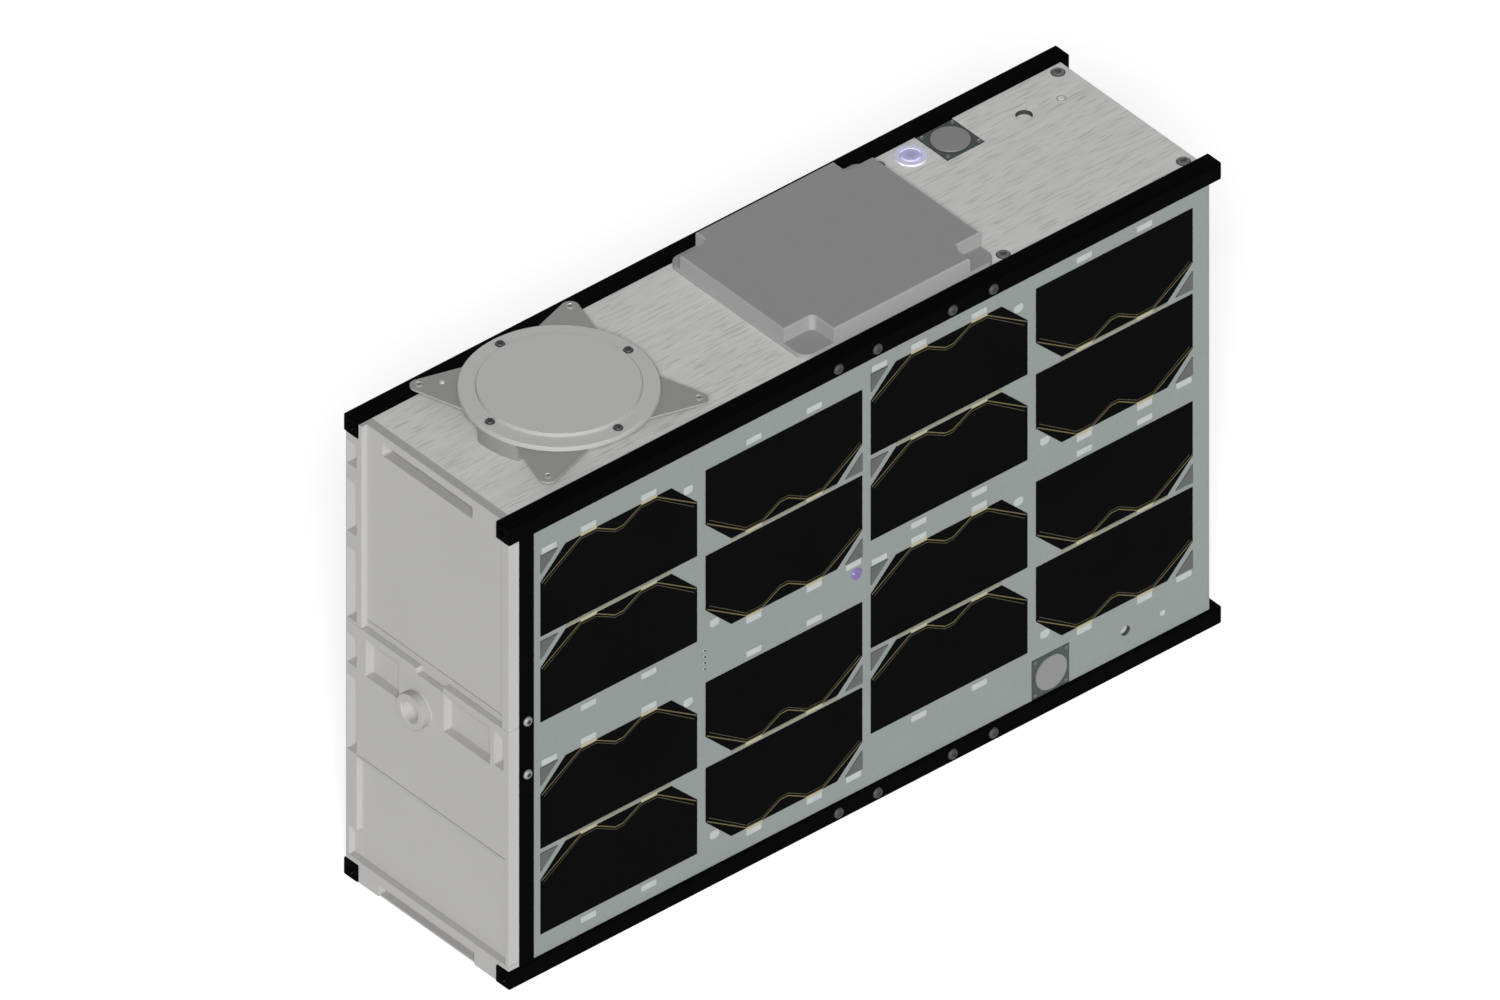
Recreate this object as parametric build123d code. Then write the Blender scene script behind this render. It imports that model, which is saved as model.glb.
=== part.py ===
from build123d import *
import os

# Six-unit box satellite. All sizes are in millimetres.
# Sizes and places are taken from three datums: X from the front rail ends, Y from the near rail faces
# and Z from the base that the two lower rails stand on. The part's origin is the middle of that base.

# Rails
LENGTH = 366.0
WIDTH = 100.0
HEIGHT = 226.3
RAIL = 8.5
RAIL_ROUND = 1.0
RAIL_END_CHAMFER = 0.6
FRONT_HOLE = 3.2
BACK_HOLE = 2.5
RAIL_HOLE_DEPTH = 8.0
LEDGE_THICK = 2.4
LEDGE_REACH = 6.0

# Clearance around panels, boards and covers that lie in a frame
FIT = 0.2

# End module at the front: its face, its thickness and the posts behind it
END_FACE = 0.6
END_THICK = 5.4
END_SIDE = 1.1
END_BACK_WALL = 0.6
BAR_DEPTH = 3.4
POST_DEPTH = 7.6
POST_RECESS = 0.5
POST_ROUND = 0.8

# Side panels
PANEL_RECESS = 1.4
BOARD_THICK = 1.6
BACK_OVERHANG = 5.4

# Top and bottom skins
SKIN_RECESS = 1.4
SKIN_THICK = 2.0
SKIN_BACK_OVERHANG = 5.0
SKIN_LAP = 2.0

# Back end plate
BACK_THICK = 5.6
BACK_RECESS = 1.2
BACK_BORDER = 9.0
BACK_CORNER = 4.0

# Solar cells, each with two cropped corners on one long edge
CELL_LONG = 80.3
CELL_TALL = 39.6
CELL_CROP = 13.0
CELL_THICK = 0.3
CELL_PITCH = 84.8
CELL_START = 3.6
CELL_GAP = 2.4
DIODE_LEG = 8.7
DIODE_THICK = 0.5
# One row per column of cells
CELL_COLUMNS = (
    # cropped_up, low_margin, high_margin
    (True, 10.3, 13.3),
    (False, 10.3, 13.3),
    (True, 25.0, 7.9),
    (False, 25.0, 7.9),
)

# Sun sensors, the side lens and the access holes
SENSOR_SIDE = 19.0
SENSOR_PROUD = 0.1
SENSOR_DISC = 15.8
SENSOR_DISC_HIGH = 0.6
SENSOR_MARGIN = 0.4
SIDE_SENSOR_FROM_BACK = 86.9
SIDE_HOLE = 4.8
SIDE_HOLE_FROM_BACK = 48.5
SIDE_HOLE_UP = 10.9
SIDE_LENS = 5.4
SIDE_LENS_HIGH = 0.9
SIDE_LENS_BEVEL = 0.7
SIDE_LENS_FROM_FRONT = 179.5
SIDE_LENS_UP = 107.1
TOP_SENSOR_FROM_BACK = 70.3
TOP_SENSOR_MARGIN = 0.9
TOP_HOLE = 7.0
TOP_HOLE_FROM_BACK = 38.0
TOP_HOLE_IN = 16.9
TOP_LENS_FROM_BACK = 89.0
TOP_LENS_IN = 8.5
TOP_LENS = 9.0
TOP_LENS_HIGH = 1.1
TOP_LENS_BEVEL = 0.8
TOP_LENS_RING = 13.0
TOP_LENS_RING_HIGH = 0.8

# Round instrument on the top skin
INSTRUMENT_FROM_FRONT = 68.3
BODY_DIAMETER = 62.0
BODY_HIGH = 7.4
EAR_TIP = 44.2
EAR_WAIST = 31.0
EAR_ROUND = 3.6
EAR_HIGH = 6.9
EAR_THICK = 0.8
STAND_DIAMETER = 78.8
STAND_DEEP = 8.0
STAND_WIDE = 20.0
STAND_OFFSET = 7.0
FLANGE_DIAMETER = 80.0
FLANGE_THICK = 2.2
FLANGE_CHAMFER = 0.5
DISC_DIAMETER = 65.6
DISC_HIGH = 1.4
DISC_CHAMFER = 0.4

# Raised housing on the top skin
HOUSING_LONG = 99.0
# Share of the free room between the instrument and the top lens that lies before the housing
HOUSING_ROOM_BEFORE = 0.795
HOUSING_HIGH = 9.2
HOUSING_BASE = 2.5
HOUSING_BASE_ROUND = 5.0
HOUSING_NOTCH_ROUND = 2.5
HOUSING_CHAMFER = 0.6
# One row per notched corner
HOUSING_NOTCHES = (
    # way_x, way_y, long, wide
    (-1, -1, 15.0, 12.6),
    (1, -1, 13.8, 10.2),
    (-1, 1, 14.6, 7.6),
    (1, 1, 13.8, 7.6),
)

# Seams and cuts of the end module, in Z from the base and in Y from the near rail faces
# Sizes named SIDES are the near and the far margin of a cut
BEAM_LIFT = 0.4
BEAM_TOP = 10.7
BEAM_LIP = 1.2
BEAM_LIP_RECESS = 0.8
BEAM_SLOT_TOP = 6.3
BEAM_SLOT_DEEP = 4.0
BEAM_SLOT_SIDES = (21.7, 20.6)
LOWER_TOP = 61.5
LOWER_RECESS = 2.9
LOWER_COVER_SIDES = (2.9, 7.5)
LOWER_FOOT_TOP = 25.0
LOWER_FOOT_FAR = 2.9
MIDDLE_TOP = 125.7
UPPER_RECESS = 2.8
UPPER_COVER_SIDES = (5.0, 10.4)
TONGUE_Y = (40.5, 56.5)
TONGUE_DROP = 2.7
UPPER_SEAM_UP = 3.2
LOWER_SEAM_UP = 0.8
SEAM_WIDE = 0.6
SEAM_DEEP = 0.5
TOP_BAR_TALL = 12.4
SLOT_SIDES = (26.0, 19.5)
SLOT_TALL = 5.9
SLOT_DEEP = 5.0
SLOT_BELOW_TOP = 6.9
SLOT_ROUND = 1.2
POCKET_DEEP = 4.1
POCKET_TALL = 18.0
POCKET_BELOW_TOP = 3.5
POCKETS_Y = ((12.3, 40.1), (67.0, 87.1))
PORT_Y = 55.5
PORT_BELOW_TOP = 18.8
PORT_DEEP = 3.6
PORT_BOSS = 16.6
PORT_BOSS_PROUD = 0.5
PORT_HOLE = 13.0
PORT_THROAT = 4.0
PORT_THROAT_DEEP = 4.8
# Closed pockets in the side strips of the end module, with their outer wall's place from the nearer side
STRIP_WIDE = 5.7
STRIP_DEEP = 4.8
STRIP_POCKETS = (
    # far_side, from_side, low_z, high_z
    (True, 1.7, 202.6, 214.0),
    (True, 1.7, 169.5, 195.0),
    (True, 1.7, 127.0, 162.0),
    (True, 1.7, 105.0, 119.5),
    (True, 1.7, 62.5, 99.5),
    (False, 4.2, 105.5, 122.0),
)

# Stack of electronics, batteries and payload inside
STACK_MARGIN_X = 24.0
STACK_MARGIN_Y = 3.0
STACK_TOP_MARGIN = 20.0

# Places that follow from the sizes above
END_BACK = END_FACE + END_THICK
BAR_BACK = END_BACK + BAR_DEPTH
POST_BACK = END_BACK + POST_DEPTH
PANEL_BACK = LENGTH - BACK_OVERHANG
SKIN_BACK = LENGTH - SKIN_BACK_OVERHANG
BACK_FRONT = PANEL_BACK - BACK_THICK
SIDE_SEAT = PANEL_RECESS + BOARD_THICK
SKIN_SEAT = SKIN_RECESS + SKIN_THICK
UPPER_RAIL = HEIGHT - RAIL
TOP = HEIGHT - SKIN_RECESS
TOP_SEAT = TOP - SKIN_THICK
INNER_NEAR = RAIL + FIT
INNER_FAR = WIDTH - RAIL - FIT
SKIN_FRONT = BAR_BACK - SKIN_LAP


def near_plane(y):
    """Sketch plane facing the near side: local x from the front, local y from the base."""
    return Plane(origin=(-LENGTH / 2, y - WIDTH / 2, 0), x_dir=(1, 0, 0), z_dir=(0, -1, 0))


def top_plane(z):
    """Sketch plane facing up: local x from the front, local y from the near side."""
    return Plane(origin=(-LENGTH / 2, -WIDTH / 2, z), x_dir=(1, 0, 0), z_dir=(0, 0, 1))


def front_plane(x):
    """Sketch plane facing the back: local x from the near side, local y from the base."""
    return Plane(origin=(x - LENGTH / 2, -WIDTH / 2, 0), x_dir=(0, 1, 0), z_dir=(1, 0, 0))


def block(x0, x1, y0, y1, z0, z1):
    """Box between two corners."""
    middle = ((x0 + x1 - LENGTH) / 2, (y0 + y1 - WIDTH) / 2, (z0 + z1) / 2)
    return Pos(*middle) * Box(x1 - x0, y1 - y0, z1 - z0)


def upright(x, y, z0, z1, diameter):
    """Upright cylinder from z0 to z1."""
    return extrude(top_plane(z0) * Pos(x, y) * Circle(diameter / 2), z1 - z0)


def far_copy(shape):
    """The same piece on the far side."""
    return mirror(shape, about=Plane.XZ)


def upper_copy(shape):
    """The same piece at the top rails."""
    return mirror(shape, about=Plane.XY.offset(HEIGHT / 2))


def make_rail():
    """Near lower rail: a rounded bar with a ledge for the side panel, a ledge for the skin and end holes."""
    bar = block(0, LENGTH, 0, RAIL, 0, RAIL)
    bar = fillet(bar.edges().filter_by(Axis.X), RAIL_ROUND)
    ends = bar.faces().sort_by(Axis.X)[0].edges() + bar.faces().sort_by(Axis.X)[-1].edges()
    bar = chamfer(ends, RAIL_END_CHAMFER)
    core = RAIL / 2
    bar += block(POST_BACK, BACK_FRONT, SIDE_SEAT, SIDE_SEAT + LEDGE_THICK, core, RAIL + LEDGE_REACH)
    bar += block(POST_BACK, BACK_FRONT, core, RAIL + LEDGE_REACH, SKIN_SEAT, SKIN_SEAT + LEDGE_THICK)
    for x, diameter in ((0, FRONT_HOLE), (LENGTH - RAIL_HOLE_DEPTH, BACK_HOLE)):
        bar -= extrude(front_plane(x) * Pos(core, core) * Circle(diameter / 2), RAIL_HOLE_DEPTH)
    return bar


def make_post():
    """Near front post, between the lower and the upper rail."""
    post = block(END_BACK, POST_BACK, POST_RECESS, RAIL, RAIL, UPPER_RAIL)
    outer = post.edges().filter_by(Axis.Z).group_by(Axis.Y)[0]
    return fillet(outer, POST_ROUND)


def side_sensor_x():
    """Front edge of the side panel's sun sensor."""
    return LENGTH - SIDE_SENSOR_FROM_BACK - SENSOR_SIDE / 2


def make_side_panel():
    """Near side panel, with the sun sensor's notch and the access hole."""
    panel = block(POST_BACK + FIT, PANEL_BACK, PANEL_RECESS, SIDE_SEAT, RAIL + FIT, UPPER_RAIL - FIT)
    x = side_sensor_x()
    z = RAIL + SENSOR_MARGIN
    panel -= block(x - FIT, x + SENSOR_SIDE + FIT, 0, RAIL, RAIL, z + SENSOR_SIDE + FIT)
    hole = Pos(LENGTH - SIDE_HOLE_FROM_BACK, RAIL + SIDE_HOLE_UP) * Circle(SIDE_HOLE / 2)
    return panel - extrude(near_plane(RAIL) * hole, RAIL)


def cell_outline(cropped_up):
    """Cell seen from its own side, with its lower front corner at the origin."""
    long, tall, crop = CELL_LONG, CELL_TALL, CELL_CROP
    corners = ((0, 0), (long, 0), (long, tall - crop), (long - crop, tall), (crop, tall), (0, tall - crop))
    if not cropped_up:
        corners = tuple((long - x, tall - y) for x, y in corners)
    return Polygon(*corners, align=None)


def cell_places():
    """Lower front corner of each cell on the near panel, with the way that its crop faces."""
    places = []
    pair = 2 * CELL_TALL + CELL_GAP
    for column, (cropped_up, low_margin, high_margin) in enumerate(CELL_COLUMNS):
        x = POST_BACK + CELL_START + column * CELL_PITCH
        if x + CELL_LONG > PANEL_BACK - CELL_START:
            break
        low = RAIL + low_margin
        high = UPPER_RAIL - high_margin - pair
        starts = (low, high) if high > low + pair + CELL_GAP else (low,)
        for start in starts:
            for row in range(2):
                places.append((x, start + row * (CELL_TALL + CELL_GAP), cropped_up))
    return places


def make_cells():
    """All cells of the near panel, glued to its face."""
    face = near_plane(PANEL_RECESS)
    return [extrude(face * Pos(x, z) * cell_outline(up), CELL_THICK) for x, z, up in cell_places()]


def make_diodes():
    """Bypass diode of each cell, in its cropped front or back corner."""
    face = near_plane(PANEL_RECESS)
    diodes = []
    for x, z, up in cell_places():
        corner = (x, z + CELL_TALL) if up else (x + CELL_LONG, z)
        way = 1 if up else -1
        outline = Polygon((0, 0), (0, -way * DIODE_LEG), (way * DIODE_LEG, 0), align=None)
        diodes.append(extrude(face * Pos(*corner) * outline, DIODE_THICK))
    return diodes


def make_side_sensor():
    """Sun sensor board of the near panel, on the rail's ledge, and its disc."""
    x = side_sensor_x()
    z = RAIL + SENSOR_MARGIN
    face = PANEL_RECESS - SENSOR_PROUD
    board = block(x, x + SENSOR_SIDE, face, SIDE_SEAT, z, z + SENSOR_SIDE)
    middle = Pos(x + SENSOR_SIDE / 2, z + SENSOR_SIDE / 2)
    disc = extrude(near_plane(face) * middle * Circle(SENSOR_DISC / 2), SENSOR_DISC_HIGH)
    return board, disc


def make_side_lens():
    """Small domed lens on the near panel."""
    face = near_plane(PANEL_RECESS)
    middle = Pos(SIDE_LENS_FROM_FRONT, RAIL + SIDE_LENS_UP)
    lens = extrude(face * middle * Circle(SIDE_LENS / 2), SIDE_LENS_HIGH)
    return chamfer(lens.edges().group_by(Axis.Y)[0], SIDE_LENS_BEVEL)


def make_skin(z0):
    """Plain skin between two rails, with its lower face at z0."""
    return block(SKIN_FRONT, SKIN_BACK, INNER_NEAR, INNER_FAR, z0, z0 + SKIN_THICK)


def top_sensor_place():
    """Front near corner of the top skin's sun sensor."""
    return LENGTH - TOP_SENSOR_FROM_BACK - SENSOR_SIDE / 2, WIDTH - RAIL - TOP_SENSOR_MARGIN - SENSOR_SIDE


def make_top_skin():
    """Top skin, with the sun sensor's notch and the access hole."""
    skin = make_skin(TOP_SEAT)
    x, y = top_sensor_place()
    skin -= block(x - FIT, x + SENSOR_SIDE + FIT, y - FIT, WIDTH, TOP_SEAT, TOP)
    return skin - upright(LENGTH - TOP_HOLE_FROM_BACK, WIDTH - RAIL - TOP_HOLE_IN, TOP_SEAT, TOP, TOP_HOLE)


def make_top_sensor():
    """Sun sensor board of the top skin, on the rail's ledge, and its disc."""
    x, y = top_sensor_place()
    face = TOP + SENSOR_PROUD
    board = block(x, x + SENSOR_SIDE, y, y + SENSOR_SIDE, TOP_SEAT, face)
    half = SENSOR_SIDE / 2
    return board, upright(x + half, y + half, face, face + SENSOR_DISC_HIGH, SENSOR_DISC)


def make_top_lens():
    """Ring and domed lens on the top skin."""
    x = LENGTH - TOP_LENS_FROM_BACK
    y = WIDTH - RAIL - TOP_LENS_IN
    ring = upright(x, y, TOP, TOP + TOP_LENS_RING_HIGH, TOP_LENS_RING)
    ring -= upright(x, y, TOP, TOP + TOP_LENS_RING_HIGH, TOP_LENS)
    lens = upright(x, y, TOP, TOP + TOP_LENS_HIGH, TOP_LENS)
    return ring, chamfer(lens.edges().group_by(Axis.Z)[-1], TOP_LENS_BEVEL)


def instrument_star(high):
    """Star with four round-ended ears around the instrument, from the ears' undersides up to a height."""
    tips = ((EAR_TIP, EAR_TIP), (-EAR_TIP, EAR_TIP), (-EAR_TIP, -EAR_TIP), (EAR_TIP, -EAR_TIP))
    waists = ((0, EAR_WAIST), (-EAR_WAIST, 0), (0, -EAR_WAIST), (EAR_WAIST, 0))
    corners = [point for pair in zip(tips, waists) for point in pair]
    star = Polygon(*corners, align=None)
    outermost = [v for v in star.vertices() if abs(v.X) > EAR_WAIST / 2 and abs(v.Y) > EAR_WAIST / 2]
    star = fillet(outermost, EAR_ROUND)
    low = EAR_HIGH - EAR_THICK
    return extrude(top_plane(TOP + low) * Pos(INSTRUMENT_FROM_FRONT, WIDTH / 2) * star, high - low)


def make_instrument_body():
    """Turned body with four thin ears."""
    body = upright(INSTRUMENT_FROM_FRONT, WIDTH / 2, TOP, TOP + BODY_HIGH, BODY_DIAMETER)
    return body + instrument_star(EAR_HIGH)


def make_instrument_stand():
    """Stand under the front of the flange, cut back for the ears."""
    x = INSTRUMENT_FROM_FRONT
    y = WIDTH / 2
    front = x - STAND_DIAMETER / 2
    low = y - STAND_OFFSET - STAND_WIDE / 2
    stretch = block(front, front + STAND_DEEP, low, low + STAND_WIDE, TOP, TOP + BODY_HIGH)
    stand = upright(x, y, TOP, TOP + BODY_HIGH, STAND_DIAMETER) & stretch
    return stand - instrument_star(BODY_HIGH)


def make_instrument_flange():
    """Flat round flange on the body, and the raised disc on it."""
    x = INSTRUMENT_FROM_FRONT
    y = WIDTH / 2
    low = TOP + BODY_HIGH
    high = low + FLANGE_THICK
    flange = upright(x, y, low, high, FLANGE_DIAMETER)
    flange = chamfer(flange.edges().filter_by(GeomType.CIRCLE), FLANGE_CHAMFER)
    disc = upright(x, y, high, high + DISC_HIGH, DISC_DIAMETER)
    return flange, chamfer(disc.edges().group_by(Axis.Z)[-1], DISC_CHAMFER)


def make_housing(ears_back):
    """Raised housing: a full base plate, and a body whose four corners are notched for its screws."""
    room = LENGTH - TOP_LENS_FROM_BACK - TOP_LENS_RING / 2 - ears_back - HOUSING_LONG
    x0 = ears_back + HOUSING_ROOM_BEFORE * room
    x1 = x0 + HOUSING_LONG
    wide = INNER_FAR - INNER_NEAR
    middle = Pos((x0 + x1) / 2, WIDTH / 2)
    foot = RectangleRounded(HOUSING_LONG, wide, HOUSING_BASE_ROUND)
    base = extrude(top_plane(TOP) * middle * foot, HOUSING_BASE)
    outline = Rectangle(HOUSING_LONG, wide)
    for way_x, way_y, notch_long, notch_wide in HOUSING_NOTCHES:
        notch = Rectangle(2 * notch_long, 2 * notch_wide)
        notch = fillet(notch.vertices(), HOUSING_NOTCH_ROUND)
        outline -= Pos(way_x * HOUSING_LONG / 2, way_y * wide / 2) * notch
    body = extrude(top_plane(TOP + HOUSING_BASE) * middle * outline, HOUSING_HIGH - HOUSING_BASE)
    return base, chamfer(body.faces().sort_by(Axis.Z)[-1].edges(), HOUSING_CHAMFER)


def end_block(z0, z1):
    """Stretch of the end module: full width between the rails' heights, and narrower beside the rails."""
    narrow = block(END_FACE, END_BACK, INNER_NEAR, INNER_FAR, z0, z1)
    low = max(z0, RAIL + FIT)
    high = min(z1, UPPER_RAIL - FIT)
    return narrow + block(END_FACE, END_BACK, END_SIDE, WIDTH - END_SIDE, low, high)


def between(sides):
    """Near and far edge of a cut, from its two margins."""
    return sides[0], WIDTH - sides[1]


def strip_pockets(z0, z1):
    """Closed pockets in the side strips that lie between two heights."""
    cuts = []
    for far_side, from_side, low, high in STRIP_POCKETS:
        if z0 < low and high < z1:
            y0 = WIDTH - from_side - STRIP_WIDE if far_side else from_side
            cuts.append(block(0, END_FACE + STRIP_DEEP, y0, y0 + STRIP_WIDE, low, high))
    return cuts


def make_end_upper():
    """Upper cover: set back between its side strips, slotted in its top bar, lapped for the top skin."""
    low = MIDDLE_TOP
    face = END_FACE + UPPER_RECESS
    y0, y1 = between(UPPER_COVER_SIDES)
    cover = end_block(low + FIT, TOP)
    cover += block(END_BACK, BAR_BACK, INNER_NEAR, INNER_FAR, TOP - TOP_BAR_TALL, TOP)
    tip = low - TONGUE_DROP + FIT
    cover += block(END_FACE, END_BACK, TONGUE_Y[0] + FIT, TONGUE_Y[1] - FIT, tip, low + 2 * FIT)
    cover -= block(0, face, y0, y1, 0, HEIGHT)
    seam = low + UPPER_SEAM_UP
    cover -= block(0, face + SEAM_DEEP, y0, y1, seam, seam + SEAM_WIDE)
    y0, y1 = between(SLOT_SIDES)
    slot = RectangleRounded(y1 - y0, SLOT_TALL, SLOT_ROUND)
    middle = Pos((y0 + y1) / 2, TOP - SLOT_BELOW_TOP)
    cover -= extrude(front_plane(0) * middle * slot, face + SLOT_DEEP)
    cover -= block(SKIN_FRONT, BAR_BACK, 0, WIDTH, TOP_SEAT, TOP)
    for cut in strip_pockets(low, TOP):
        cover -= cut
    return cover


def make_end_middle():
    """Middle plate: two pockets under its top edge, a round nozzle port and the lower cover's recess."""
    plate = end_block(BEAM_TOP + FIT, MIDDLE_TOP)
    plate -= block(0, END_BACK, TONGUE_Y[0], TONGUE_Y[1], MIDDLE_TOP - TONGUE_DROP, MIDDLE_TOP)
    high = MIDDLE_TOP - POCKET_BELOW_TOP
    for y0, y1 in POCKETS_Y:
        plate -= block(0, END_FACE + POCKET_DEEP, y0, y1, high - POCKET_TALL, high)
    y0, y1 = between(LOWER_COVER_SIDES)
    plate -= block(0, END_BACK - END_BACK_WALL, y0, y1, 0, LOWER_TOP)
    plate -= block(0, END_FACE + LOWER_RECESS, y0, WIDTH - LOWER_FOOT_FAR, 0, LOWER_FOOT_TOP)
    seam = LOWER_TOP + LOWER_SEAM_UP
    plate -= block(0, END_FACE + SEAM_DEEP, y0, y1, seam, seam + SEAM_WIDE)
    for cut in strip_pockets(BEAM_TOP, MIDDLE_TOP):
        plate -= cut
    port = Pos(PORT_Y, MIDDLE_TOP - PORT_BELOW_TOP)
    front = END_FACE - PORT_BOSS_PROUD
    plate += extrude(front_plane(front) * port * Circle(PORT_BOSS / 2), PORT_BOSS_PROUD + PORT_DEEP)
    plate -= extrude(front_plane(0) * port * Circle(PORT_HOLE / 2), END_FACE + PORT_DEEP)
    return plate - extrude(front_plane(0) * port * Circle(PORT_THROAT / 2), END_FACE + PORT_THROAT_DEEP)


def make_end_lower():
    """Lower cover, at the back of the middle plate's recess."""
    y0, y1 = between(LOWER_COVER_SIDES)
    face = END_FACE + LOWER_RECESS
    return block(face, END_BACK - END_BACK_WALL, y0 + FIT, y1 - FIT, BEAM_TOP + FIT, LOWER_TOP - FIT)


def make_end_beam():
    """Bottom beam, with a long slot over a lip along its lower edge, lapped for the bottom skin."""
    beam = end_block(BEAM_LIFT, BEAM_TOP)
    beam += block(END_BACK, BAR_BACK, INNER_NEAR, INNER_FAR, BEAM_LIFT, BEAM_TOP)
    beam -= block(SKIN_FRONT, BAR_BACK, 0, WIDTH, 0, SKIN_SEAT)
    y0, y1 = between(BEAM_SLOT_SIDES)
    beam -= block(0, END_FACE + BEAM_SLOT_DEEP, y0, y1, BEAM_LIP, BEAM_SLOT_TOP)
    return beam - block(0, END_FACE + BEAM_LIP_RECESS, y0, y1, 0, BEAM_LIP)


def make_back_plate():
    """Plain back end plate between the side panels, with a shallow recess inside its border."""
    plate = block(BACK_FRONT, PANEL_BACK, INNER_NEAR, INNER_FAR, SKIN_SEAT, TOP_SEAT)
    plate += block(BACK_FRONT, PANEL_BACK, SIDE_SEAT, WIDTH - SIDE_SEAT, RAIL + FIT, UPPER_RAIL - FIT)
    wide = WIDTH - 2 * (RAIL + BACK_BORDER)
    tall = HEIGHT - 2 * (RAIL + BACK_BORDER)
    recess = Pos(WIDTH / 2, HEIGHT / 2) * RectangleRounded(wide, tall, BACK_CORNER)
    return plate - extrude(front_plane(PANEL_BACK - BACK_RECESS) * recess, BACK_RECESS)


def make_stack():
    """Inner stack, on the ledges of the lower rails."""
    low = SKIN_SEAT + LEDGE_THICK
    return block(POST_BACK + STACK_MARGIN_X, BACK_FRONT - STACK_MARGIN_X, RAIL + STACK_MARGIN_Y,
                 WIDTH - RAIL - STACK_MARGIN_Y, low, UPPER_RAIL - STACK_TOP_MARGIN)


def make_parts():
    """All nodes by name."""
    rail = make_rail()
    upper_rail = upper_copy(rail)
    post = make_post()
    panel = make_side_panel()
    cells = make_cells()
    diodes = make_diodes()
    sensor_board, sensor_disc = make_side_sensor()
    lens = make_side_lens()
    instrument = make_instrument_body()
    ears_back = instrument.bounding_box().max.X + LENGTH / 2
    parts = {
        "rail_near_lower": rail,
        "rail_near_upper": upper_rail,
        "rail_far_lower": far_copy(rail),
        "rail_far_upper": far_copy(upper_rail),
        "top_skin": make_top_skin(),
        "bottom_skin": make_skin(SKIN_RECESS),
        "instrument_body": instrument,
        "instrument_stand": make_instrument_stand(),
        "end_upper_cover": make_end_upper(),
        "end_middle_plate": make_end_middle(),
        "end_lower_cover": make_end_lower(),
        "end_bottom_beam": make_end_beam(),
        "back_end_plate": make_back_plate(),
        "inner_stack": make_stack(),
    }
    near = {
        "front_post": post,
        "side_panel": panel,
        "side_sensor_board": sensor_board,
        "side_sensor_disc": sensor_disc,
        "side_lens": lens,
    }
    for name, shape in near.items():
        parts[name + "_near"] = shape
        parts[name + "_far"] = far_copy(shape)
    for name, shapes in (("solar_cells", cells), ("bypass_diodes", diodes)):
        parts[name + "_near"] = Compound(children=shapes)
        parts[name + "_far"] = Compound(children=[far_copy(shape) for shape in shapes])
    parts["top_sensor_board"], parts["top_sensor_disc"] = make_top_sensor()
    parts["top_lens_ring"], parts["top_lens"] = make_top_lens()
    parts["instrument_flange"], parts["instrument_disc"] = make_instrument_flange()
    parts["housing_base"], parts["housing_body"] = make_housing(ears_back)
    return parts


os.makedirs("parts", exist_ok=True)
for name, shape in make_parts().items():
    export_step(shape, f"parts/{name}.step")
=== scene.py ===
import math

import bmesh
import bpy
from bpy.props import FloatProperty, FloatVectorProperty, PointerProperty
from mathutils import Matrix, Vector


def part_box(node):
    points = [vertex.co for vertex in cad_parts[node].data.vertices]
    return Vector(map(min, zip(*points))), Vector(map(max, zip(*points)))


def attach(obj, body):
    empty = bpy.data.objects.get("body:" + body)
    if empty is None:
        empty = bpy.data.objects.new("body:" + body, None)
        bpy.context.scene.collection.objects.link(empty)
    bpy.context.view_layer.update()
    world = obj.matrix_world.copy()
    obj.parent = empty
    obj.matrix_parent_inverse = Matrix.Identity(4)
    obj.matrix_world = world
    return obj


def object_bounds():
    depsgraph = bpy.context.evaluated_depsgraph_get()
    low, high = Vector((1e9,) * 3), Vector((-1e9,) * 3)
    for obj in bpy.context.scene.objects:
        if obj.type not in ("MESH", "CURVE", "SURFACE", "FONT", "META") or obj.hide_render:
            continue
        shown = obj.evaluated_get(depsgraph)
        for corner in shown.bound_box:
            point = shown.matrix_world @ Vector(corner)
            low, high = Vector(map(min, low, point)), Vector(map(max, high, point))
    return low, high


bl_info = {
    "name": "Box satellite finish",
    "version": (1, 0, 0),
    "blender": (4, 5, 0),
    "location": "3D View > Sidebar > Satellite",
    "description": "Finishes, fasteners, cell wiring and stage of a six-unit box satellite",
    "category": "Object",
}

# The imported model, in metres: X along the rails from front to back, Y from near to far side, Z up
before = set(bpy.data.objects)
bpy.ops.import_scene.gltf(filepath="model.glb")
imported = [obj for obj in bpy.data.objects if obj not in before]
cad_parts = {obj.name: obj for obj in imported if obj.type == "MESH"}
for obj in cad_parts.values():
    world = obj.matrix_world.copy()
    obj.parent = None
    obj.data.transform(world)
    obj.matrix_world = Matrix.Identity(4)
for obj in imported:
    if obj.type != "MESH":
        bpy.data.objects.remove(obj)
CAD_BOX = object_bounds()
FRONT = CAD_BOX[0].x
NEAR = CAD_BOX[0].y
BODY = "root"
SIDES = {"near": -1, "far": 1}

# Picture: its size in pixels, its scale and the pixel of the middle of the satellite's base
PICTURE = (1500, 1000)
PIXELS_PER_METRE = 2560.4
ORIGIN_PIXEL = (782.5, 748.3)
CAMERA_AWAY = 3.0

# Directions that the two low lamps stand in, and the floor's distance below the satellite
SIDE_LAMP = (-0.57, -0.82, 0.02)
FILL_LAMP = (0.60, 0.80, -0.04)
FLOOR_GAP = 0.0002

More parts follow.
